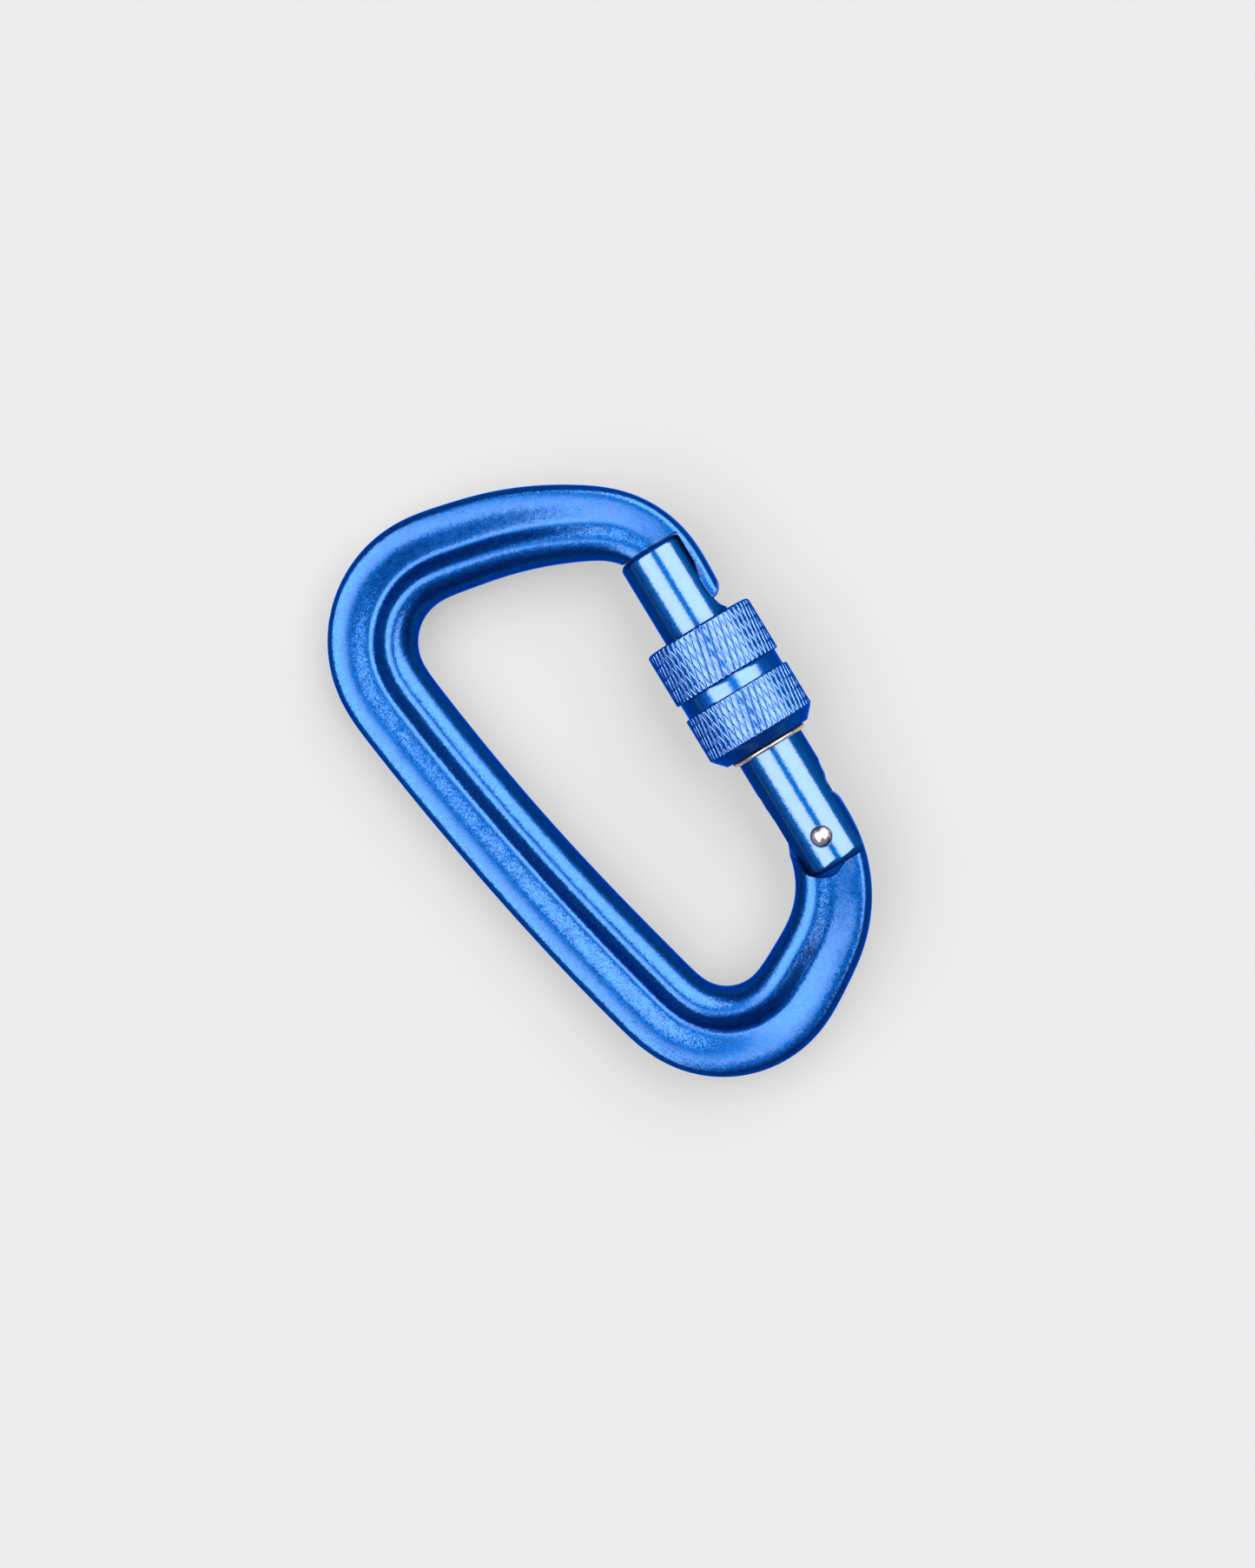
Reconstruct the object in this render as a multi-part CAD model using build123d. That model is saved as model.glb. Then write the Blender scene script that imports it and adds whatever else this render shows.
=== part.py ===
from build123d import *
import cmath
import math
import os
import numpy as np

# Screw-lock D carabiner lying flat. Millimetres.
# +X points out through the gate, +Y from the hinge to the nose, +Z out of the flat side.
# The origin is the centre of the outline, on the mid-plane of the forging.

# Gate barrel
GATE_X = 17.0
GATE_R = 4.24
GATE_TOP_Y = 21.0
GATE_END_Y = -22.4
GATE_EDGE = 0.8
GATE_FLAT_X = 20.8
SCALLOP_X = 20.25
HINGE_FLAT_X = 20.6
HINGE_INNER_X = 13.0
HINGE_FLAT_Y = -14.2
HINGE_RAMP_Y = -10.6
CHEEK_CORNER_R = 1.7
OUTER_CORNER_R = 0.9

# Slots in the gate's ends, and the thin webs of the frame that fill them
WEB_HALF = 1.45
SLOT_HALF = 1.53
NOSE_SLOT_FLOOR_X = 14.4
NOSE_SLOT_FLOOR_Y = 11.4
NOSE_SLOT_CORNER = 1.2
HINGE_SLOT_R = 6.0

# Hinge and return spring
RIVET_X = 17.0
RIVET_Y = -18.5
RIVET_R = 0.9
RIVET_HEAD_R = 1.28
RIVET_HEAD_H = 0.75
RIVET_SEAT_Z = 3.9
RIVET_SEAT_R = 1.36
RUNNING_GAP = 0.04
OPEN_ANGLE = 25.0
PLUNGER_R = 1.3
PLUNGER_TIP_START = 4.5
PLUNGER_FEED = 2.2
PLUNGER_LENGTH = 4.0
STEM_R = 0.6
STEM_LENGTH = 1.6
SPRING_BORE_END_Y = -2.6
SPRING_WIRE_R = 0.22
SPRING_COIL_R = 0.98
SPRING_TURNS = 7
SPRING_SEAT_GAP = 0.02

# Screw thread between gate and sleeve
THREAD_PITCH = 1.5
TURNS_TO_LOCK = 3.0
THREAD_BOTTOM_Y = -0.85
THREAD_TOP_Y = 3.1
THREAD_CREST_R = 4.66
THREAD_GAP = 0.06
THREAD_WIDTH = 0.75
THREAD_SINK = 0.15

# Sleeve
SLEEVE_R = 6.95
SLEEVE_TOP_Y = 10.2
SLEEVE_END_Y = -5.9
SLEEVE_CONE_Y = -4.4
SLEEVE_MOUTH_R = 5.55
GROOVE_TOP_Y = 3.3
GROOVE_END_Y = 1.3
GROOVE_R = 6.5
TOP_BEVEL = 0.6
LAND_R = 4.36
COUNTERBORE_START_Y = 4.1
COUNTERBORE_WALL_Y = 5.5
COUNTERBORE_R = 5.45
RING_BORE_R = 5.0
RING_BORE_DEPTH = 0.6
RING_GROOVE_R = 5.35
LAND_START_Y = -3.7

# Wire ring
RING_WIRE_R = 0.31
RING_R = 4.6
RING_Y = -6.22
RING_GAP_DEG = 14.0

# Nose of the frame, outside the gate's flat
SHOULDER_Y = 21.18
LIP_X = 20.95
NOSE_WEB_X = 14.75
HOOK_X = 20.36
NOTCH_X = 21.2
NOTCH_TOP_Y = 16.4
NOTCH_END_Y = 15.0
NOSE_TIP = (20.55, 12.3)
SHOULDER_RELIEF = 0.28

# Hinge end of the frame
SWING_GAP = 0.14
SWING_STEPS = 10
SWING_REACH_X = 7.0
SWING_REACH_Y = 9.0

# Centreline of the frame's bar, from the nose over the top, down the spine and up to the hinge.
# Each bend is the corner where its straight stretches would meet, and the radius that rounds it.
BAR_START = (18.45, 10.6)
NOSE_BEND = (18.4, 24.1, 11.5)
TOP_BOW = (5.3, 31.65, 42.0)
TOP_BEND = (-20.6, 37.45, 11.0)
SPINE_BOW = (-16.2, -0.9, 330.0)
BOTTOM_BEND = (-6.7, -39.6, 10.0)
HINGE_BEND = (16.75, -26.0, 15.0)
BAR_END = (16.9, -12.0)
BENDS = (NOSE_BEND, TOP_BOW, TOP_BEND, SPINE_BOW, BOTTOM_BEND, HINGE_BEND)
BEND_EASE = 5.0
ROW_SPACING = 1.2

# Cross-section at the start, at the middle of each bend and at the end: the bar's width, the
# half-thickness of the outer flange, of the pocket's floor and of the inner ridge, and how far
# across the width the floor lies.
BAR_WIDTH = 10.8
SECTIONS = (
    (6.7, 2.5, 2.5, 2.5, 0.45),
    (8.15, 2.6, 2.6, 2.9, 0.47),
    (9.95, 2.65, 2.15, 3.3, 0.5),
    (BAR_WIDTH, 2.7, 2.1, 3.5, 0.5),
    (BAR_WIDTH, 2.75, 2.15, 3.5, 0.51),
    (BAR_WIDTH, 2.7, 2.1, 3.5, 0.5),
    (9.1, 2.55, 2.6, 2.95, 0.49),
    (8.2, 2.5, 2.65, 2.95, 0.45),
)
FLANGE_PLACE = 0.2
RIDGE_PLACE = 0.73
FLANGE_SQUARENESS = 0.6
FLANGE_FULLNESS = 1.2
RIDGE_FULLNESS = 0.9

# Cutting shapes: taller than any piece, and reaching this far past the metal
TALL = 12.0
PAST = 1.0

GATE_AXIS = Axis((GATE_X, 0, 0), (0, 1, 0))


def smooth_step(t):
    return t * t * (3 - 2 * t)


def spline_at(knots, values, places):
    """Natural cubic spline through the values at the knots, read at each place."""
    gaps = np.diff(knots)
    slopes = np.diff(values) / gaps
    system = np.eye(len(knots))
    right = np.zeros(len(knots))
    for i in range(1, len(knots) - 1):
        system[i, i - 1 : i + 2] = gaps[i - 1], 2 * (gaps[i - 1] + gaps[i]), gaps[i]
        right[i] = 6 * (slopes[i] - slopes[i - 1])
    bend = np.linalg.solve(system, right)
    result = []
    for place in places:
        i = min(max(int(np.searchsorted(knots, place)) - 1, 0), len(gaps) - 1)
        b = (place - knots[i]) / gaps[i]
        a = 1 - b
        curve = (a**3 - a) * bend[i] + (b**3 - b) * bend[i + 1]
        result.append(a * values[i] + b * values[i + 1] + curve * gaps[i] ** 2 / 6)
    return result


def bar_legs():
    """Straights and arcs of the centreline, each as (start, heading, length, curvature)."""
    corners = [complex(*BAR_START), *[complex(x, y) for x, y, _ in BENDS], complex(*BAR_END)]
    legs = []
    start = corners[0]
    for i, (_, _, radius) in enumerate(BENDS):
        before, corner, after = corners[i : i + 3]
        heading = (corner - before) / abs(corner - before)
        onward = (after - corner) / abs(after - corner)
        turn = cmath.phase(onward / heading)
        reach = radius * math.tan(turn / 2)
        arc_start = corner - heading * reach
        legs.append((start, heading, abs(arc_start - start), 0.0))
        legs.append((arc_start, heading, radius * turn, 1 / radius))
        start = corner + onward * reach
    legs.append((start, onward, abs(corners[-1] - start), 0.0))
    return legs


def place_on_bar(legs, distance):
    """Point on the centreline at a distance from the nose."""
    for start, heading, length, curvature in legs[:-1]:
        if distance < length:
            break
        distance -= length
    else:
        start, heading, length, curvature = legs[-1]
    if curvature == 0:
        return start + heading * distance
    return start + heading * (cmath.exp(1j * curvature * distance) - 1) / (1j * curvature)


def eased_place(legs, distance):
    """Centreline averaged over BEND_EASE of its length, with its direction there."""
    half = BEND_EASE / 2
    around = [place_on_bar(legs, distance + step) for step in np.linspace(-half, half, 21)]
    along = around[-1] - around[0]
    return sum(around) / len(around), along / abs(along)


def section_points(centre, heading, width, heights, floor_place):
    """Upper half of one cross-section, from the outer edge over the top to the inner edge."""
    flange, floor, ridge = heights
    profile = []
    for t in np.linspace(0, 1, 9)[:-1]:
        angle = t * math.pi / 2
        place = FLANGE_PLACE * (1 - math.cos(angle) ** FLANGE_SQUARENESS)
        profile.append((place, flange * math.sin(angle) ** FLANGE_SQUARENESS))
    for t in np.linspace(0, 1, 9)[:-1]:
        place = FLANGE_PLACE + (floor_place - FLANGE_PLACE) * t
        profile.append((place, flange + (floor - flange) * smooth_step(t**FLANGE_FULLNESS)))
    for t in np.linspace(0, 1, 13)[:-1]:
        place = floor_place + (RIDGE_PLACE - floor_place) * t
        profile.append((place, floor + (ridge - floor) * smooth_step(t**RIDGE_FULLNESS)))
    for t in np.linspace(0, 1, 11):
        angle = (1 - t) * math.pi / 2
        place = RIDGE_PLACE + (1 - RIDGE_PLACE) * math.cos(angle)
        profile.append((place, ridge * math.sin(angle)))
    inward = heading * 1j * width
    points = []
    for place, height in profile:
        spot = centre + inward * (place - 0.5)
        points.append(Vector(spot.real, spot.imag, max(height, 0)))
    return points


def swept_forging():
    """The bar of the frame before its ends are machined."""
    legs = bar_legs()
    ends = np.cumsum([leg[2] for leg in legs])
    knots = [0.0, *[(ends[2 * i] + ends[2 * i + 1]) / 2 for i in range(len(BENDS))], ends[-1]]
    places = np.linspace(0, ends[-1], round(ends[-1] / ROW_SPACING))
    columns = [spline_at(knots, column, places) for column in zip(*SECTIONS)]
    rows = []
    for distance, width, flange, floor, ridge, floor_place in zip(places, *columns):
        centre, heading = eased_place(legs, distance)
        rows.append(section_points(centre, heading, width, (flange, floor, ridge), floor_place))
    top = Face.make_surface_from_array_of_points(rows, tol=0.01, min_deg=3, max_deg=5)
    faces = [top, top.mirror(Plane.XY)]
    for row in (rows[0], rows[-1]):
        halves = [edge for edge in top.edges() if abs(edge.center().Z) > 0.5]
        near = min(halves, key=lambda edge: (edge.center() - row[len(row) // 2]).length)
        faces.append(Face(Wire([near, near.mirror(Plane.XY)])))
    return Solid(Shell(faces))


def upright_prism(outline, low, high):
    """Prism on the flat outline from z = low to z = high."""
    return extrude(Plane.XY.offset(low) * outline, high - low)


def polygon(*points):
    return make_face(Polyline(*points, close=True))


def rounded_cheek(gap):
    """Plan of the gate's hinge end, grown by a gap on its inner side and at its end."""
    left = HINGE_INNER_X - gap
    bottom = GATE_END_Y - gap
    radius = CHEEK_CORNER_R + gap
    corner = CenterArc((left + radius, bottom + radius), radius, 180, 90)
    right = GATE_X + SWING_REACH_X
    top = RIVET_Y + SWING_REACH_Y
    rest = Polyline(corner @ 1, (right, bottom), (right, top), (left, top), corner @ 0)
    return make_face([corner, rest])


def gate_swing_at_hinge():
    """Plan of the space that the gate's cheeks sweep beside the tang as the gate opens."""
    cheek = rounded_cheek(SWING_GAP)
    swept = cheek
    for step in range(1, SWING_STEPS + 1):
        angle = OPEN_ANGLE * step / SWING_STEPS
        swept += Pos(RIVET_X, RIVET_Y) * Rot(0, 0, angle) * Pos(-RIVET_X, -RIVET_Y) * cheek
    return swept


def tang_cam_outline():
    """Edge of the tang under the plunger, rising evenly as the gate swings open."""
    reach = PLUNGER_TIP_START + PLUNGER_R
    points = []
    for degrees in range(-6, int(OPEN_ANGLE) + 13, 3):
        angle = math.radians(degrees)
        r = reach + PLUNGER_FEED * angle
        away = Vector(-math.sin(angle), math.cos(angle))
        along = Vector(-math.cos(angle), -math.sin(angle))
        normal = (away * r - along * PLUNGER_FEED).normalized()
        points.append(away * r - normal * (PLUNGER_R + RUNNING_GAP))
    return [Vector(RIVET_X, RIVET_Y) + p for p in points]


def hinge_web_trim():
    """Everything above the tang's rounded edge, so that the web ends as a cam."""
    outer_side = [(21.2, -17.4), (20.95, -15.5), (20.2, -14.25), (19.3, -13.85), (18.6, -14.2)]
    inner_side = [(13.35, -15.6), (13.15, -17.0), (12.3, -18.8)]
    edge = Spline(*outer_side, *tang_cam_outline(), *inner_side)
    above = Polyline(edge @ 1, (10.5, -18.8), (10.5, 0.0), (24.0, 0.0), (24.0, -17.4), edge @ 0)
    return make_face([edge, above])


def nose_gate_clearance():
    """Plan of the gate's place beside the nose, with the catch notch under the lip's hook."""
    return polygon(
        (8.0, SHOULDER_Y),
        (8.0, 5.0),
        (21.4, 5.0),
        (21.4, 10.6),
        (20.75, 11.5),
        (20.45, 12.4),
        (HOOK_X, 13.4),
        (HOOK_X, NOTCH_END_Y),
        (NOTCH_X, NOTCH_END_Y),
        (NOTCH_X, NOTCH_TOP_Y),
        (LIP_X, NOTCH_TOP_Y + 0.25),
        (LIP_X, SHOULDER_Y),
    )


def nose_tip_trim():
    """Everything below the rounded end of the nose."""
    lip_side = [(22.4, 16.6), (22.05, 14.3), (21.4, 12.8), NOSE_TIP]
    web_side = [(19.0, 12.5), (16.6, 13.2), (NOSE_WEB_X, 15.0)]
    edge = Spline(*lip_side, *web_side)
    below = Polyline(
        edge @ 1,
        (NOSE_WEB_X, SHOULDER_Y - SHOULDER_RELIEF),
        (NOSE_WEB_X - SHOULDER_RELIEF, SHOULDER_Y),
        (8.0, SHOULDER_Y),
        (8.0, 5.0),
        (25.0, 5.0),
        (25.0, 16.6),
        edge @ 0,
    )
    return make_face([edge, below])


def frame():
    body = swept_forging()
    body -= upright_prism(nose_tip_trim(), -TALL, TALL)
    body -= upright_prism(hinge_web_trim(), -TALL, TALL)
    for outline in (nose_gate_clearance(), gate_swing_at_hinge()):
        for low, high in ((WEB_HALF, TALL), (-TALL, -WEB_HALF)):
            body -= upright_prism(outline, low, high)
    body -= Pos(RIVET_X, RIVET_Y) * Cylinder(RIVET_R + RUNNING_GAP, TALL)
    return body


def along_gate(profile_points):
    """Solid of revolution about the gate's axis from (radius, y) points."""
    outline = polygon(*[(GATE_X + r, y) for r, y in profile_points])
    return revolve(outline, GATE_AXIS)


def thread_ridge(crest_r, bottom_y, top_y, width):
    """Helical ridge on the gate, or the matching groove in the sleeve, as one solid."""
    height = top_y - bottom_y
    helix = Helix(THREAD_PITCH, height, GATE_R)
    start = helix @ 0
    direction = helix % 0
    depth = crest_r - GATE_R
    plane = Plane(origin=start, x_dir=(1, 0, 0), z_dir=direction)
    section = plane * make_face(
        Polyline(
            (-THREAD_SINK, -width / 2),
            (depth, -width / 4),
            (depth, width / 4),
            (-THREAD_SINK, width / 2),
            close=True,
        )
    )
    ridge = sweep(section, helix, is_frenet=True)
    upright = Pos(GATE_X, bottom_y, 0) * Rot(-90, 0, 0) * ridge
    return upright


def hinge_ramp(barrel_x, flat_x, outward):
    """Soft slope from outside the barrel down to a hinge flat, drawn towards the hinge."""
    middle = (HINGE_RAMP_Y + HINGE_FLAT_Y) / 2
    return Spline(
        (barrel_x + outward, HINGE_RAMP_Y + PAST),
        (barrel_x, HINGE_RAMP_Y),
        ((barrel_x + flat_x) / 2, middle),
        (flat_x, HINGE_FLAT_Y),
        tangents=[(-outward, -PAST), (0, -1)],
    )


def gate_plan():
    """Plan outline of the gate: the barrel with its milled scallop and hinge flats."""
    wide = GATE_X + GATE_R + PAST
    narrow = GATE_X - GATE_R - PAST
    top = GATE_TOP_Y + PAST
    scallop = Spline(
        (GATE_FLAT_X, 17.6),
        (20.66, 16.5),
        (20.34, 15.2),
        (SCALLOP_X, 14.2),
        (20.27, 13.0),
        (20.5, 11.8),
        (20.95, 10.9),
        (wide, 10.3),
    )
    outer_corner = CenterArc(
        (HINGE_FLAT_X - OUTER_CORNER_R, GATE_END_Y + OUTER_CORNER_R), OUTER_CORNER_R, 0, -90
    )
    inner_corner = CenterArc(
        (HINGE_INNER_X + CHEEK_CORNER_R, GATE_END_Y + CHEEK_CORNER_R), CHEEK_CORNER_R, 270, -90
    )
    outer_ramp = hinge_ramp(GATE_X + GATE_R, HINGE_FLAT_X, PAST)
    inner_ramp = hinge_ramp(GATE_X - GATE_R, HINGE_INNER_X, -PAST)
    joins = [
        Line(scallop @ 1, outer_ramp @ 0),
        Line(outer_ramp @ 1, outer_corner @ 0),
        Line(outer_corner @ 1, inner_corner @ 0),
        Line(inner_corner @ 1, inner_ramp @ 1),
        Polyline(inner_ramp @ 0, (narrow, top), (GATE_FLAT_X, top), scallop @ 0),
    ]
    return make_face([scallop, outer_ramp, outer_corner, inner_corner, inner_ramp, *joins])


def gate_barrel():
    body = along_gate([(0, GATE_END_Y), (GATE_R, GATE_END_Y), (GATE_R, GATE_TOP_Y), (0, GATE_TOP_Y)])
    body = fillet(body.edges().filter_by(GeomType.CIRCLE), GATE_EDGE)
    body = body & upright_prism(gate_plan(), -TALL, TALL)
    body += thread_ridge(THREAD_CREST_R, THREAD_BOTTOM_Y, THREAD_TOP_Y, THREAD_WIDTH)
    nose_slot = polygon(
        (NOSE_SLOT_FLOOR_X, GATE_TOP_Y + PAST),
        (NOSE_SLOT_FLOOR_X, NOSE_SLOT_FLOOR_Y + NOSE_SLOT_CORNER),
        (NOSE_SLOT_FLOOR_X + NOSE_SLOT_CORNER, NOSE_SLOT_FLOOR_Y),
        (GATE_X + GATE_R + PAST, NOSE_SLOT_FLOOR_Y),
        (GATE_X + GATE_R + PAST, GATE_TOP_Y + PAST),
    )
    body -= upright_prism(nose_slot, -SLOT_HALF, SLOT_HALF)
    hinge_slot = Pos(RIVET_X, RIVET_Y) * Circle(HINGE_SLOT_R)
    hinge_slot += Pos(RIVET_X, RIVET_Y - TALL / 2) * Rectangle(TALL * 2, TALL)
    body -= upright_prism(hinge_slot, -SLOT_HALF, SLOT_HALF)
    bore_start = RIVET_Y + HINGE_SLOT_R - PAST
    bore_length = SPRING_BORE_END_Y - bore_start
    bore = Pos(RIVET_X, bore_start + bore_length / 2, 0) * Rot(90, 0, 0)
    body -= bore * Cylinder(PLUNGER_R + RUNNING_GAP, bore_length)
    body -= Pos(RIVET_X, RIVET_Y, 0) * Cylinder(RIVET_R, TALL)
    for side in (1, -1):
        seat_z = side * (RIVET_SEAT_Z + TALL / 2)
        body -= Pos(RIVET_X, RIVET_Y, seat_z) * Cylinder(RIVET_SEAT_R, TALL)
    return body


def hinge_rivet():
    """Pin with a domed head on each cheek."""
    shank = Cylinder(RIVET_R, 2 * RIVET_SEAT_Z)
    dome_r = (RIVET_HEAD_R**2 + RIVET_HEAD_H**2) / (2 * RIVET_HEAD_H)
    for side in (1, -1):
        dome = Pos(0, 0, side * (RIVET_SEAT_Z + RIVET_HEAD_H - dome_r)) * Sphere(dome_r)
        cap = Pos(0, 0, side * (RIVET_SEAT_Z + TALL / 2)) * Cylinder(TALL, TALL)
        shank += dome & cap
    return Pos(RIVET_X, RIVET_Y, 0) * shank


def spring_plunger():
    """Round-nosed pin that rides on the tang's cam."""
    tip_y = RIVET_Y + PLUNGER_TIP_START
    nose = Pos(0, PLUNGER_R, 0) * Sphere(PLUNGER_R)
    shank = Rot(90, 0, 0) * Cylinder(PLUNGER_R, PLUNGER_LENGTH - PLUNGER_R)
    shank = Pos(0, (PLUNGER_R + PLUNGER_LENGTH) / 2, 0) * shank
    stem = Rot(90, 0, 0) * Cylinder(STEM_R, STEM_LENGTH)
    stem = Pos(0, PLUNGER_LENGTH + STEM_LENGTH / 2, 0) * stem
    return Pos(RIVET_X, tip_y, 0) * (nose + shank + stem)


def gate_spring():
    """Compression spring between the plunger's shoulder and the bore's blind end."""
    seat = SPRING_WIRE_R + SPRING_SEAT_GAP
    start = RIVET_Y + PLUNGER_TIP_START + PLUNGER_LENGTH + seat
    height = SPRING_BORE_END_Y - seat - start
    helix = Helix(height / SPRING_TURNS, height, SPRING_COIL_R)
    section = Plane(origin=helix @ 0, z_dir=helix % 0) * Circle(SPRING_WIRE_R)
    coil = sweep(section, helix, is_frenet=True)
    return Pos(RIVET_X, start, 0) * Rot(-90, 0, 0) * coil


def locking_sleeve():
    """Screw sleeve, shown run down to the unlocked end of its thread."""
    outer = [
        (LAND_R, SLEEVE_END_Y),
        (SLEEVE_MOUTH_R, SLEEVE_END_Y),
        (SLEEVE_R, SLEEVE_CONE_Y),
        (SLEEVE_R, GROOVE_END_Y),
        (GROOVE_R, GROOVE_END_Y),
        (GROOVE_R, GROOVE_TOP_Y),
        (SLEEVE_R, GROOVE_TOP_Y),
        (SLEEVE_R, SLEEVE_TOP_Y - TOP_BEVEL),
        (SLEEVE_R - TOP_BEVEL, SLEEVE_TOP_Y),
        (LAND_R, SLEEVE_TOP_Y),
    ]
    body = along_gate(outer)
    counterbore = [
        (0, COUNTERBORE_START_Y),
        (LAND_R, COUNTERBORE_START_Y),
        (COUNTERBORE_R, COUNTERBORE_WALL_Y),
        (COUNTERBORE_R, SLEEVE_TOP_Y + PAST),
        (0, SLEEVE_TOP_Y + PAST),
    ]
    body -= along_gate(counterbore)
    mouth = [
        (0, SLEEVE_END_Y - PAST),
        (RING_BORE_R, SLEEVE_END_Y - PAST),
        (RING_BORE_R, SLEEVE_END_Y + RING_BORE_DEPTH),
        (RING_GROOVE_R, SLEEVE_END_Y + RING_BORE_DEPTH),
        (RING_GROOVE_R, SLEEVE_CONE_Y),
        (LAND_R, LAND_START_Y),
        (0, LAND_START_Y),
    ]
    body -= along_gate(mouth)
    groove_start = THREAD_BOTTOM_Y - TURNS_TO_LOCK * THREAD_PITCH
    groove_top = THREAD_TOP_Y + THREAD_GAP
    groove_width = THREAD_WIDTH + 2 * THREAD_GAP
    body -= thread_ridge(THREAD_CREST_R + THREAD_GAP, groove_start, groove_top, groove_width)
    return body


def retaining_ring():
    """Open ring of round wire round the gate, below the sleeve's mouth."""
    half_gap = RING_GAP_DEG / 2
    hoop = CenterArc((0, 0), RING_R, 180 + half_gap, 360 - 2 * half_gap)
    section = Plane(origin=hoop @ 0, z_dir=hoop % 0) * Circle(RING_WIRE_R)
    body = sweep(section, hoop)
    return Pos(GATE_X, RING_Y, 0) * Rot(-90, 0, 0) * body


def main():
    os.makedirs("parts", exist_ok=True)
    pieces = {
        "frame": frame(),
        "gate_barrel": gate_barrel(),
        "hinge_rivet": hinge_rivet(),
        "gate_spring": gate_spring(),
        "spring_plunger": spring_plunger(),
        "locking_sleeve": locking_sleeve(),
        "retaining_ring": retaining_ring(),
    }
    for name, solid in pieces.items():
        export_step(solid, f"parts/{name}.step")


main()
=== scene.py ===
import math

import bpy
from mathutils import Matrix, Vector


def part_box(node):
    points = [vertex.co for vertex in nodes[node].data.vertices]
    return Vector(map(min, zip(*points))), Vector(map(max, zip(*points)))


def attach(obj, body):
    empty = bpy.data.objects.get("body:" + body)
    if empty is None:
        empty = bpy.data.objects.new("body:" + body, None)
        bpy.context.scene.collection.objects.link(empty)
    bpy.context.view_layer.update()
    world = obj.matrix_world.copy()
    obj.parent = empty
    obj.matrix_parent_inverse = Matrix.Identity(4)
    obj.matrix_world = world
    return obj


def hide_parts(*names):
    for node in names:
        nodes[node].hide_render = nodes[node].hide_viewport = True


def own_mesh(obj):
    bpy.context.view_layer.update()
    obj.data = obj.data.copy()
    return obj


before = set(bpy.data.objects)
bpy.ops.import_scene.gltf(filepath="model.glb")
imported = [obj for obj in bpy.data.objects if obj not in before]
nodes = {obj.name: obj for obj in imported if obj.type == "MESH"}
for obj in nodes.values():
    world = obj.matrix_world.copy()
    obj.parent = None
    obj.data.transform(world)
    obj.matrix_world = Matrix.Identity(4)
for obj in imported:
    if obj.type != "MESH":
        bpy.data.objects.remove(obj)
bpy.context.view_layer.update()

MM = 0.001


# ---------------------------------------------------------------- places, from the frame
sleeve_low, sleeve_high = [Vector(corner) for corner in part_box("locking_sleeve")]
GATE_X = (sleeve_low.x + sleeve_high.x) / 2
SLEEVE_R = (sleeve_high.x - sleeve_low.x) / 2
SLEEVE_END_Y = sleeve_low.y
SLEEVE_TOP_Y = sleeve_high.y

rivet_low, rivet_high = [Vector(corner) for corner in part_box("hinge_rivet")]
RIVET_Y = (rivet_low.y + rivet_high.y) / 2 / MM

# The carabiner lies on its sleeve and its spine, so the floor leans against the flat side.
FLOOR_LEAN = math.radians(6.2)
FLOOR_UP = Vector((math.sin(FLOOR_LEAN), 0, math.cos(FLOOR_LEAN)))
FLOOR_RIGHT = Vector((math.cos(FLOOR_LEAN), 0, -math.sin(FLOOR_LEAN)))


# ---------------------------------------------------------------- node helpers
class Graph:
    """Small helper that adds and joins shader nodes."""

    def __init__(self, tree):
        self.tree = tree
        tree.nodes.clear()

    def add(self, kind, **values):
        node = self.tree.nodes.new(kind)
        for key, value in values.items():
            setattr(node, key, value)
        return node

    def link(self, source, target):
        self.tree.links.new(source, target)

    def math(self, operation, a, b=None):
        node = self.add("ShaderNodeMath", operation=operation)
        for slot, value in ((0, a), (1, b)):
            if value is None:
                continue
            if isinstance(value, (int, float)):
                node.inputs[slot].default_value = value
            else:
                self.link(value, node.inputs[slot])
        return node.outputs[0]

    def smooth_range(self, value, low, high, to_low=0.0, to_high=1.0):
        node = self.add("ShaderNodeMapRange", interpolation_type="SMOOTHSTEP")
        self.link(value, node.inputs["Value"])
        node.inputs["From Min"].default_value = low
        node.inputs["From Max"].default_value = high
        node.inputs["To Min"].default_value = to_low
        node.inputs["To Max"].default_value = to_high
        return node.outputs[0]

    def noise(self, vector, scale, detail=2.0, rough=0.5):
        node = self.add("ShaderNodeTexNoise")
        self.link(vector, node.inputs["Vector"])
        node.inputs["Scale"].default_value = scale
        node.inputs["Detail"].default_value = detail
        node.inputs["Roughness"].default_value = rough
        return node.outputs["Fac"]


def new_material(name):
    material = bpy.data.materials.new(name)
    material.use_nodes = True
    return material, Graph(material.node_tree)


def add_object(name, points, faces, material):
    mesh = bpy.data.meshes.new(name)
    mesh.from_pydata(points, [], faces)
    mesh.materials.append(material)
    piece = bpy.data.objects.new(name, mesh)
    bpy.context.scene.collection.objects.link(piece)
    return piece


# ---------------------------------------------------------------- materials
def millimetre_coordinates(graph):
    coordinates = graph.add("ShaderNodeTexCoord")
    scale = graph.add("ShaderNodeVectorMath", operation="SCALE")
    graph.link(coordinates.outputs["Object"], scale.inputs[0])
    scale.inputs["Scale"].default_value = 1 / MM
    return scale.outputs[0]


def metal(name):
    """New metal material, with its graph, its shader and its place on the object in millimetres."""
    material, graph = new_material(name)
    shader = graph.add("ShaderNodeBsdfPrincipled")
    output = graph.add("ShaderNodeOutputMaterial")
    graph.link(shader.outputs[0], output.inputs["Surface"])
    shader.inputs["Metallic"].default_value = 1.0
    return material, graph, shader, millimetre_coordinates(graph)


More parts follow.
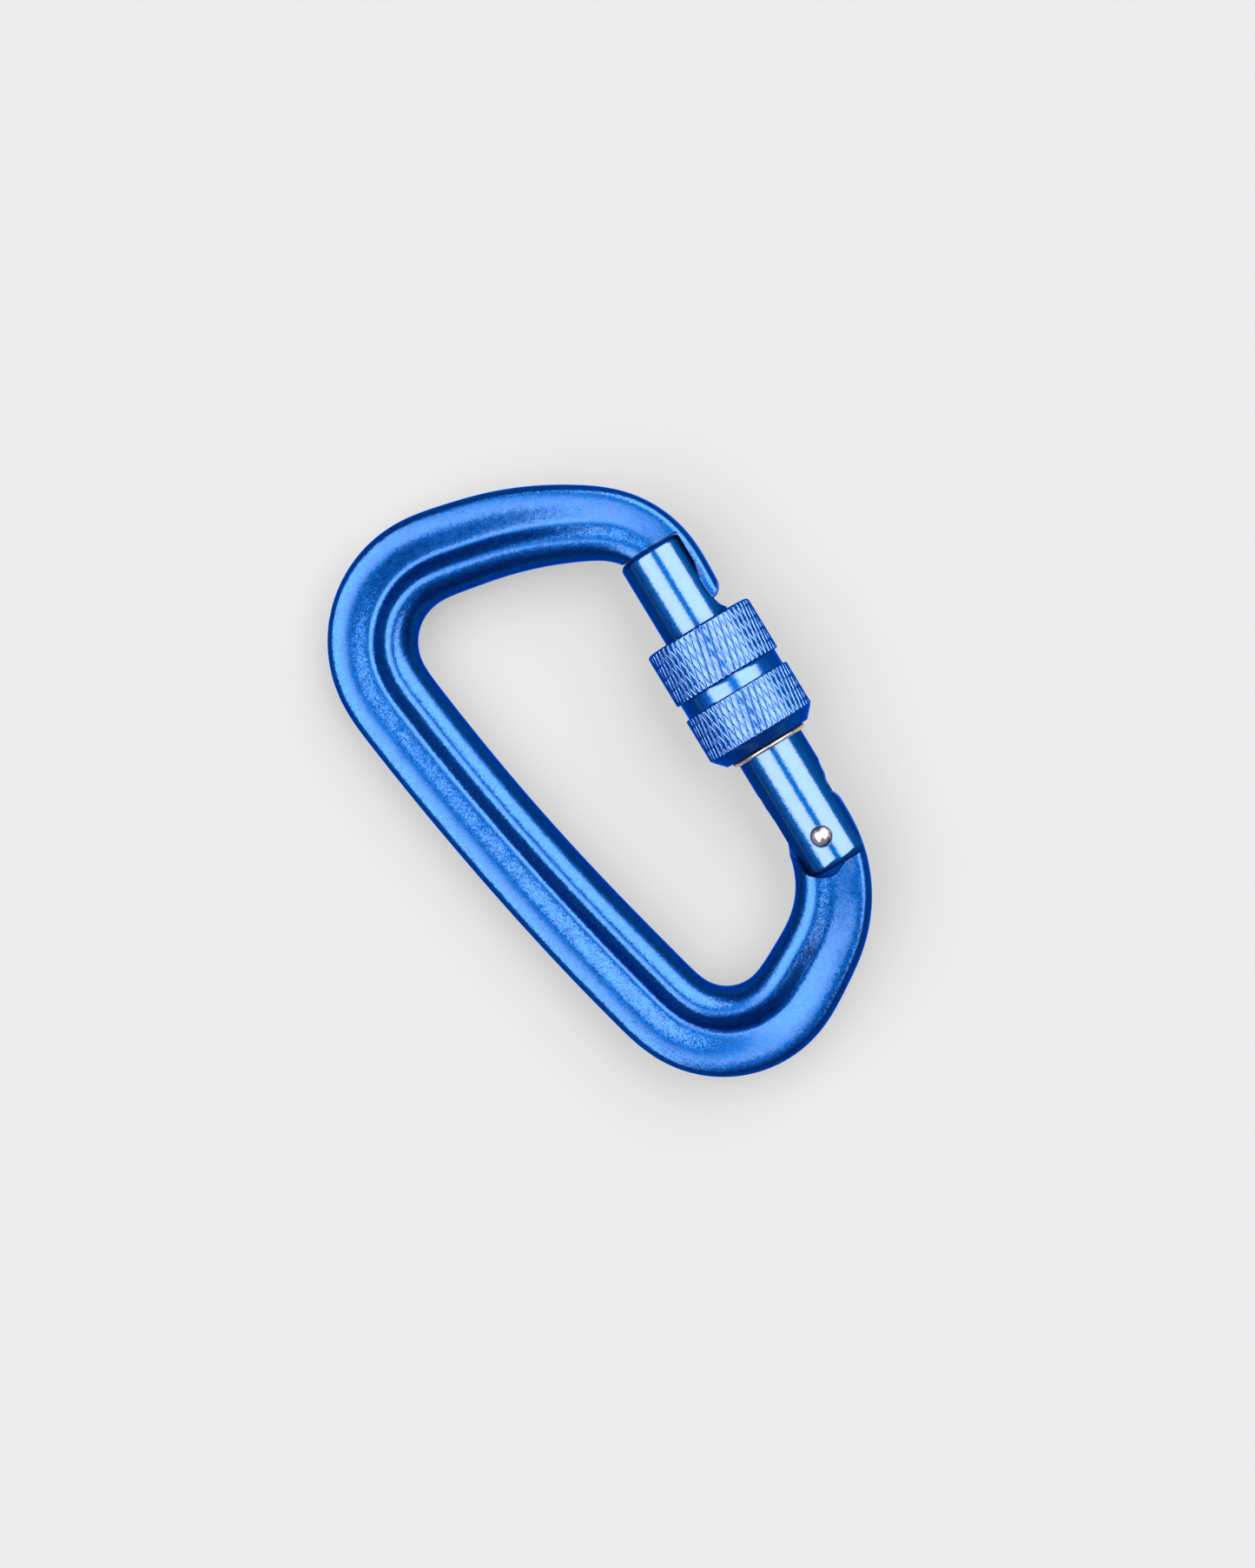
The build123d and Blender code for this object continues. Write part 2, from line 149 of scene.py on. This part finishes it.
# Facing is 0 square on to the eye and 1 edge on. The skin's mirror fades out over SKIN_FADE, and
# the colour is painted lighter over RIM_FADE, a painted reflection towards edge-on faces.
SKIN_FADE = (0.15, 0.38)
SKIN_IOR = 1.70
RIM_FADE = (0.55, 1.0)
# Painted reflection: the lighter colour that edge-on faces are painted towards.
RIM_PAINTED_SHEEN = (0.01, 0.12, 0.46)
DYE_EDGE_TINT = (0.02, 0.35, 0.9)
# Painted shade: the dark colour that the hinge relief's floor is mixed towards.
RELIEF_PAINTED_SHADE = (0.0002, 0.024, 0.100)

# The relief's floor, which gets painted shade, lies within RELIEF_FLOOR mm of the middle plane and
# HINGE_REACH mm of the rivet.
HINGE_REACH = 6.5
RELIEF_FLOOR = 1.6
RELIEF_FLATNESS = 0.9

# Noise scales are per millimetre, and the middle of a noise is stretched over NOISE_MIDDLE.
CLOUD_SCALE = 0.35
CLOUD_SHARE = 0.2
FACET_SHARE = 0.9
WEAR_SCALE = 1.2
NOISE_MIDDLE = (0.3, 0.7)
ROUGHNESS_SPREAD = 0.03
SKIN_ROUGHNESS_SPREAD = 0.02
SCRATCH_CONTRAST = 0.3


def mix_colour(graph, share, low, high):
    """Colour between low and high; either may be a plain colour or another node's output."""
    mix = graph.add("ShaderNodeMix", data_type="RGBA")
    graph.link(share, mix.inputs["Factor"])
    for slot, colour in ((6, low), (7, high)):
        if isinstance(colour, tuple):
            mix.inputs[slot].default_value = (*colour, 1)
        else:
            graph.link(colour, mix.inputs[slot])
    return mix.outputs[2]


def facets(graph, place, size):
    """Random colour for each cell of a fine blasted surface."""
    cells = graph.add("ShaderNodeTexVoronoi", feature="F1")
    graph.link(place, cells.inputs["Vector"])
    cells.inputs["Scale"].default_value = 1 / size
    return cells.outputs["Color"]


def tilted_normal(graph, random_colour, tilt, normal):
    """The surface normal with each facet leaning its own way."""
    centred = graph.add("ShaderNodeVectorMath", operation="SUBTRACT")
    graph.link(random_colour, centred.inputs[0])
    centred.inputs[1].default_value = (0.5, 0.5, 0.5)
    lean = graph.add("ShaderNodeVectorMath", operation="SCALE")
    graph.link(centred.outputs[0], lean.inputs[0])
    lean.inputs["Scale"].default_value = tilt
    leaning = graph.add("ShaderNodeVectorMath", operation="ADD")
    graph.link(normal, leaning.inputs[0])
    graph.link(lean.outputs[0], leaning.inputs[1])
    unit = graph.add("ShaderNodeVectorMath", operation="NORMALIZE")
    graph.link(leaning.outputs[0], unit.inputs[0])
    return unit.outputs[0]


def relief_shade_mask(graph, place):
    """Mask for painted shade: 1 on the floor of the relief that the gate's cheeks swing in, else 0.
    """
    split = graph.add("ShaderNodeSeparateXYZ")
    graph.link(place, split.inputs[0])
    coordinates = graph.add("ShaderNodeTexCoord")
    normal = graph.add("ShaderNodeSeparateXYZ")
    graph.link(coordinates.outputs["Normal"], normal.inputs[0])
    low = graph.math("LESS_THAN", graph.math("ABSOLUTE", split.outputs["Z"]), RELIEF_FLOOR)
    upright = graph.math("ABSOLUTE", normal.outputs["Z"])
    flat = graph.math("GREATER_THAN", upright, RELIEF_FLATNESS)
    near_hinge = graph.math("LESS_THAN", split.outputs["Y"], RIVET_Y + HINGE_REACH)
    return graph.math("MULTIPLY", graph.math("MULTIPLY", low, flat), near_hinge)


def anodised(
    name, dye, roughness, skin, skin_roughness, facet_size, facet_tilt, flecks, relief=False
):
    """Dyed anodised aluminium: blasted, faceted metal under a thin clear skin, with a painted
    reflection lightening its colour edge on and, with relief, painted shade on the hinge relief's
    floor.
    """
    material, graph, shader, place = metal(name)
    shader.inputs["Coat IOR"].default_value = SKIN_IOR
    shader.inputs["Specular Tint"].default_value = (*DYE_EDGE_TINT, 1)

    weight = graph.add("ShaderNodeLayerWeight")
    weight.inputs["Blend"].default_value = 0.5
    facing = weight.outputs["Facing"]
    mirror = graph.smooth_range(facing, *SKIN_FADE, skin, 0.0)

    grain = facets(graph, place, facet_size)
    channels = graph.add("ShaderNodeSeparateColor")
    graph.link(grain, channels.inputs[0])
    cloud = graph.math("MULTIPLY", graph.noise(place, CLOUD_SCALE, 3.0), CLOUD_SHARE)
    shade = graph.math("ADD", cloud, graph.math("MULTIPLY", channels.outputs[0], FACET_SHARE))
    dark = tuple(c * (1 - flecks) for c in dye)
    light = tuple(c * (1 + flecks) for c in dye)
    colour = mix_colour(graph, shade, dark, light)
    # Painted reflection: the colour is painted lighter towards edge-on faces.
    colour = mix_colour(graph, graph.smooth_range(facing, *RIM_FADE), colour, RIM_PAINTED_SHEEN)
    if relief:
        # Painted shade: the relief's floor is coloured darker and its skin's mirror is taken away.
        painted_shade = relief_shade_mask(graph, place)
        colour = mix_colour(graph, painted_shade, colour, RELIEF_PAINTED_SHADE)
        mirror = graph.math("MULTIPLY", mirror, graph.math("SUBTRACT", 1.0, painted_shade))
    graph.link(colour, shader.inputs["Base Color"])
    graph.link(mirror, shader.inputs["Coat Weight"])

    wear = graph.noise(place, WEAR_SCALE, 4.0, 0.6)
    for socket, middle, spread in (
        ("Roughness", roughness, ROUGHNESS_SPREAD),
        ("Coat Roughness", skin_roughness, SKIN_ROUGHNESS_SPREAD),
    ):
        worn = graph.smooth_range(wear, *NOISE_MIDDLE, middle - spread, middle + spread)
        graph.link(worn, shader.inputs[socket])

    surface = graph.add("ShaderNodeNewGeometry")
    normal = tilted_normal(graph, grain, facet_tilt, surface.outputs["Normal"])
    graph.link(normal, shader.inputs["Normal"])
    graph.link(normal, shader.inputs["Coat Normal"])
    return material


def steel(name, colour, roughness, grain_size, grain_depth):
    """Bare stainless steel with fine scratches."""
    material, graph, shader, place = metal(name)
    shader.inputs["Base Color"].default_value = (*colour, 1)
    grain = graph.noise(place, 1 / grain_size, 4.0, 0.6)
    low, high = roughness * (1 - SCRATCH_CONTRAST), roughness * (1 + SCRATCH_CONTRAST)
    graph.link(graph.smooth_range(grain, *NOISE_MIDDLE, low, high), shader.inputs["Roughness"])
    bump = graph.add("ShaderNodeBump")
    bump.inputs["Distance"].default_value = grain_depth * MM
    graph.link(grain, bump.inputs["Height"])
    graph.link(bump.outputs[0], shader.inputs["Normal"])
    return material


frame_blue = anodised(
    "frame_anodise",
    dye=(0.0003, 0.054, 0.178),
    roughness=0.37,
    skin=0.36,
    skin_roughness=0.18,
    facet_size=0.14,
    facet_tilt=0.085,
    flecks=0.45,
    # Paints shade on the hinge relief's floor.
    relief=True,
)
gate_blue = anodised(
    "gate_anodise",
    dye=(0.0003, 0.058, 0.172),
    roughness=0.44,
    skin=0.98,
    skin_roughness=0.07,
    facet_size=0.14,
    facet_tilt=0.045,
    flecks=0.15,
)
sleeve_blue = anodised(
    "sleeve_anodise",
    dye=(0.0003, 0.062, 0.205),
    roughness=0.42,
    skin=0.90,
    skin_roughness=0.10,
    facet_size=0.14,
    facet_tilt=0.05,
    flecks=0.20,
)
rivet_steel = steel(
    "rivet_steel", (0.44, 0.365, 0.315), roughness=0.36, grain_size=0.5, grain_depth=0.0005
)
ring_steel = steel(
    "ring_steel", (0.36, 0.315, 0.28), roughness=0.42, grain_size=0.3, grain_depth=0.001
)
spring_steel = steel(
    "spring_steel", (0.55, 0.55, 0.56), roughness=0.3, grain_size=0.3, grain_depth=0.001
)


def dress(node, material):
    mesh = nodes[node].data
    mesh.materials.clear()
    mesh.materials.append(material)


dress("frame", frame_blue)
dress("gate_barrel", gate_blue)
dress("hinge_rivet", rivet_steel)
dress("spring_plunger", spring_steel)
dress("retaining_ring", ring_steel)


# ---------------------------------------------------------------- knurled sleeve
COLUMNS = 756
KNURL_STARTS = 54
KNURL_LEAN = math.radians(14)
KNURL_STEP = 0.075 * MM
LEAD_DEPTH = 0.17 * MM
CROSS_DEPTH = 0.075 * MM
GROOVE_SHARE = 0.30
CUT_UNEVENNESS = 0.18
CUT_PHASE = 2.4
CROSSING_DEPTH = 1.15 * LEAD_DEPTH

# The sleeve's section in mm: heights from its lower end, radii from its axis.
CONE_END = 1.5
GROOVE_LOW = 7.2
GROOVE_HIGH = 9.2
GROOVE_DEPTH = 0.45
GROOVE_CORNER = 0.09
TOP_ROUND = 0.45
TOP_ROUND_STEPS = 8
TOP_HEIGHT = (SLEEVE_TOP_Y - SLEEVE_END_Y) / MM
OUTER_R = SLEEVE_R / MM
EDGE_DROP = 0.10
KNURL_FADE = 0.16
UNFADED_TOP = 1.0
CONE_STATIONS = (0.1, 0.3, 0.5, 0.7, 0.9)
MOUTH_RIM = ((5.0, 0.06), (5.06, 0.0), (5.5, 0.0), (5.58, 0.04))
TOP_RIM = ((5.56, 0.0), (5.48, -0.03), (5.45, -0.08))
BORE = (
    (5.45, 13.5), (5.45, 11.5), (4.4, 10.0), (4.36, 9.9), (4.36, 6.0),
    (4.36, 3.0), (4.36, 2.2), (5.35, 1.5), (5.35, 0.66), (5.0, 0.6),
)


def knurl_depth(angle, y):
    """Depth of the two crossing sets of helical V grooves, the leading set cut deeper."""
    lean = math.tan(KNURL_LEAN) / SLEEVE_R
    depth = 0.0
    for way, deep in ((-1, LEAD_DEPTH), (1, CROSS_DEPTH)):
        turns = KNURL_STARTS * (angle + way * lean * y) / math.tau
        groove = round(turns)
        uneven = 1 + CUT_UNEVENNESS * math.sin(CUT_PHASE * groove * groove + way)
        off_centre = 1 - 2 * abs(turns - groove)
        depth += deep * uneven * max(0.0, (off_centre - (1 - GROOVE_SHARE)) / GROOVE_SHARE)
    return min(depth, CROSSING_DEPTH)


def ease(value, low, high):
    t = min(1.0, max(0.0, (value - low) / (high - low)))
    return t * t * (3 - 2 * t)


def sleeve_profile():
    """Closed section as (radius, y, knurl share): up the outside and back down the bore."""

    def at(radius, height, knurled=0.0):
        return radius * MM, SLEEVE_END_Y + height * MM, knurled

    rows = [at(*point) for point in MOUTH_RIM]
    for t in CONE_STATIONS:
        rows.append(at(5.6 + (OUTER_R - 5.68) * t, 0.07 + (CONE_END - 0.12) * t))
    for low, high in ((CONE_END, GROOVE_LOW), (GROOVE_HIGH, TOP_HEIGHT - TOP_ROUND)):
        top_band = high > GROOVE_HIGH
        count = int((high - low) * MM / KNURL_STEP)
        for i in range(count + 1):
            y = low + (high - low) * i / count
            edge = min(y - low, high - y)
            if top_band and y > high - UNFADED_TOP:
                drop, knurled = 0.0, 1.0
            else:
                drop = EDGE_DROP * (1 - ease(edge, 0, EDGE_DROP))
                knurled = ease(edge, 0.0, KNURL_FADE)
            rows.append(at(OUTER_R - drop, y, knurled))
        if not top_band:
            floor_r = OUTER_R - GROOVE_DEPTH
            floor_length = GROOVE_HIGH - GROOVE_LOW - 2 * GROOVE_CORNER
            rows += [at(OUTER_R - 0.25, GROOVE_LOW + 0.02), at(OUTER_R - 0.42, GROOVE_LOW + 0.05)]
            for t in (0, 0.25, 0.5, 0.75, 1):
                rows.append(at(floor_r, GROOVE_LOW + GROOVE_CORNER + floor_length * t))
            rows += [at(OUTER_R - 0.42, GROOVE_HIGH - 0.05), at(OUTER_R - 0.25, GROOVE_HIGH - 0.02)]
    for step in range(1, TOP_ROUND_STEPS + 1):
        share = step / TOP_ROUND_STEPS
        bend = share * math.pi / 2
        radius = OUTER_R - TOP_ROUND * (1 - math.cos(bend))
        rows.append(at(radius, TOP_HEIGHT - TOP_ROUND * (1 - math.sin(bend)), 1 - share))
    rows += [at(radius, TOP_HEIGHT + height) for radius, height in TOP_RIM]
    rows += [at(*point) for point in BORE]
    return rows


def knurled_sleeve():
    rows = sleeve_profile()
    points = []
    for radius, y, knurled in rows:
        for column in range(COLUMNS):
            angle = math.tau * column / COLUMNS
            r = radius - (knurl_depth(angle, y) * knurled if knurled else 0)
            points.append((GATE_X + r * math.sin(angle), y, r * math.cos(angle)))
    faces = []
    for i in range(len(rows)):
        this, after = i * COLUMNS, (i + 1) % len(rows) * COLUMNS
        for column in range(COLUMNS):
            side = (column + 1) % COLUMNS
            faces.append((this + column, this + side, after + side, after + column))
    piece = add_object("knurled_sleeve", points, faces, sleeve_blue)
    piece.data.shade_smooth()
    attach(piece, "sleeve")
    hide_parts("locking_sleeve")


knurled_sleeve()


# ---------------------------------------------------------------- return spring
SPRING_WIRE_R = 0.22 * MM
SPRING_COILS = 7
STEPS_PER_COIL = 40
WIRE_SIDES = 12
# Share by which the coils close up at both ends.
END_CLOSING = 0.5


def return_spring():
    """Coil between the plunger and the blind end of the gate's bore, shortened by the plunger."""
    low, high = [Vector(corner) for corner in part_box("gate_spring")]
    coil_r = (high.x - low.x) / 2 - SPRING_WIRE_R
    start = low.y + SPRING_WIRE_R
    span = high.y - low.y - 2 * SPRING_WIRE_R
    centre_x = (low.x + high.x) / 2
    count = SPRING_COILS * STEPS_PER_COIL
    points = []
    for step in range(count + 1):
        t = step / count
        turn = math.tau * SPRING_COILS * t
        out = Vector((math.cos(turn), 0, math.sin(turn)))
        rise = span * (1 - END_CLOSING * math.cos(math.tau * t)) / (math.tau * SPRING_COILS)
        along_wire = Vector((-math.sin(turn) * coil_r, rise, math.cos(turn) * coil_r)).normalized()
        across = along_wire.cross(out)
        y = start + span * (t - END_CLOSING * math.sin(math.tau * t) / math.tau)
        centre = Vector((centre_x, y, 0)) + out * coil_r
        for side in range(WIRE_SIDES):
            angle = math.tau * side / WIRE_SIDES
            spoke = out * math.cos(angle) + across * math.sin(angle)
            points.append(centre + spoke * SPRING_WIRE_R)
    faces = [tuple(range(WIRE_SIDES))[::-1]]
    for step in range(count):
        this, after = step * WIRE_SIDES, (step + 1) * WIRE_SIDES
        for side in range(WIRE_SIDES):
            beside = (side + 1) % WIRE_SIDES
            faces.append((this + side, this + beside, after + beside, after + side))
    faces.append(tuple(range(count * WIRE_SIDES, (count + 1) * WIRE_SIDES)))
    piece = add_object("return_spring", points, faces, spring_steel)
    piece.data.shade_smooth()
    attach(piece, "gate")
    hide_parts("gate_spring")
    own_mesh(piece)


return_spring()


# ---------------------------------------------------------------- floor
FLOOR_HALF_SIZE = 3.0
FLOOR_ALBEDO = 0.12
FLOOR_GLOW = 0.37
FLOOR_TONE = (1.0, 0.980, 0.915)
FLOOR_GLOW_IN_METAL = 0.85


def floor():
    """Pale floor that touches the underside of the sleeve."""
    axis_height = Vector((GATE_X, 0, 0)).dot(FLOOR_UP) - SLEEVE_R
    centre = FLOOR_UP * axis_height
    corners = []
    for x, y in ((-1, -1), (1, -1), (1, 1), (-1, 1)):
        corner = centre + FLOOR_RIGHT * (x * FLOOR_HALF_SIZE)
        corners.append(corner + Vector((0, y * FLOOR_HALF_SIZE, 0)))
    material, graph = new_material("floor_paper")
    shader = graph.add("ShaderNodeBsdfDiffuse")
    shader.inputs["Color"].default_value = (FLOOR_ALBEDO, FLOOR_ALBEDO, FLOOR_ALBEDO, 1)
    glow = graph.add("ShaderNodeEmission")
    glow.inputs["Color"].default_value = (*FLOOR_TONE, 1)
    path = graph.add("ShaderNodeLightPath")
    to_camera = path.outputs["Is Camera Ray"]
    strength = graph.smooth_range(to_camera, 0, 1, FLOOR_GLOW_IN_METAL, FLOOR_GLOW)
    graph.link(strength, glow.inputs["Strength"])
    both = graph.add("ShaderNodeAddShader")
    output = graph.add("ShaderNodeOutputMaterial")
    graph.link(shader.outputs[0], both.inputs[0])
    graph.link(glow.outputs[0], both.inputs[1])
    graph.link(both.outputs[0], output.inputs["Surface"])
    add_object("floor", corners, [(0, 1, 2, 3)], material)


# ---------------------------------------------------------------- studio light
# Angles are in degrees from straight above the floor. The gap between the soft boxes widens by
# GAP_OPENING for each degree beyond GAP_OPENS_AT, on the hinge's side only.
BOX_LIGHT = 8.0
FILL_LIGHT = 0.45
FILL_COLOUR = (0.22, 0.36, 1.0)
BACKDROP = 0.823
SOFTBOXES = ((-56, -8), (11, 66))
SOFTBOX_REACH = 38
GAP_OPENS_AT = 4.0
GAP_OPENING = 1.6
SOFT_EDGE = 5


def studio():
    """Two big soft boxes either side of the camera, with a narrow dark gap between them."""
    world = bpy.data.worlds.new("studio")
    bpy.context.scene.world = world
    world.use_nodes = True
    graph = Graph(world.node_tree)
    direction = graph.add("ShaderNodeTexCoord").outputs["Generated"]
    parts = []
    for axis in (FLOOR_RIGHT, Vector((0, 1, 0)), FLOOR_UP):
        dot = graph.add("ShaderNodeVectorMath", operation="DOT_PRODUCT")
        graph.link(direction, dot.inputs[0])
        dot.inputs[1].default_value = axis
        parts.append(dot.outputs["Value"])
    across = graph.math("DEGREES", graph.math("ARCTAN2", parts[0], parts[2]))
    signed_along = graph.math("DEGREES", graph.math("ARCSINE", parts[1]))
    along = graph.math("ABSOLUTE", signed_along)
    reach_end = SOFTBOX_REACH + 2 * SOFT_EDGE
    inside_length = graph.smooth_range(along, SOFTBOX_REACH, reach_end, 1.0, 0.0)
    past = graph.math("MAXIMUM", graph.math("SUBTRACT", -GAP_OPENS_AT, signed_along), 0.0)
    opened = graph.math("MULTIPLY", past, GAP_OPENING)
    left_edge = graph.math("ADD", across, opened)
    boxes_across = []
    for low, high in SOFTBOXES:
        rise = graph.smooth_range(across, low - SOFT_EDGE, low + SOFT_EDGE)
        fall = graph.smooth_range(left_edge, high - SOFT_EDGE, high + SOFT_EDGE, 1.0, 0.0)
        boxes_across.append(graph.math("MULTIPLY", rise, fall))
    both = graph.math("ADD", *boxes_across)
    light = graph.math("MULTIPLY", graph.math("MULTIPLY", both, inside_length), BOX_LIGHT)
    boxes = graph.add("ShaderNodeBackground")
    graph.link(light, boxes.inputs["Strength"])
    fill = graph.add("ShaderNodeBackground")
    fill.inputs["Color"].default_value = (*FILL_COLOUR, 1)
    fill.inputs["Strength"].default_value = FILL_LIGHT
    studio_light = graph.add("ShaderNodeAddShader")
    graph.link(boxes.outputs[0], studio_light.inputs[0])
    graph.link(fill.outputs[0], studio_light.inputs[1])
    backdrop = graph.add("ShaderNodeBackground")
    backdrop.inputs["Color"].default_value = (BACKDROP, BACKDROP, BACKDROP, 1)
    path = graph.add("ShaderNodeLightPath")
    mix = graph.add("ShaderNodeMixShader")
    graph.link(path.outputs["Is Camera Ray"], mix.inputs[0])
    graph.link(studio_light.outputs[0], mix.inputs[1])
    graph.link(backdrop.outputs[0], mix.inputs[2])
    output = graph.add("ShaderNodeOutputWorld")
    graph.link(mix.outputs[0], output.inputs["Surface"])


floor()
studio()
bpy.context.scene.view_settings.view_transform = "Standard"
bpy.context.scene.view_settings.look = "Medium High Contrast"


# ---------------------------------------------------------------- camera
CAMERA_HEIGHT = 0.37
VIEW_HEIGHT = 0.1875
CAMERA_TURN = math.radians(-31.2)
VIEW_CENTRE = Vector((0.155 * MM, -1.41 * MM, 0))
SENSOR = 24.0


def camera():
    data = bpy.data.cameras.new("camera")
    data.sensor_fit = "VERTICAL"
    data.sensor_height = SENSOR
    data.lens = SENSOR * CAMERA_HEIGHT / VIEW_HEIGHT
    data.clip_start = 0.01
    data.clip_end = 20
    item = bpy.data.objects.new("camera", data)
    bpy.context.scene.collection.objects.link(item)
    item.location = VIEW_CENTRE + FLOOR_UP * CAMERA_HEIGHT
    up = FLOOR_RIGHT * -math.sin(CAMERA_TURN) + Vector((0, math.cos(CAMERA_TURN), 0))
    right = up.cross(FLOOR_UP)
    item.rotation_euler = Matrix((right, up, FLOOR_UP)).transposed().to_euler()
    bpy.context.scene.camera = item


camera()
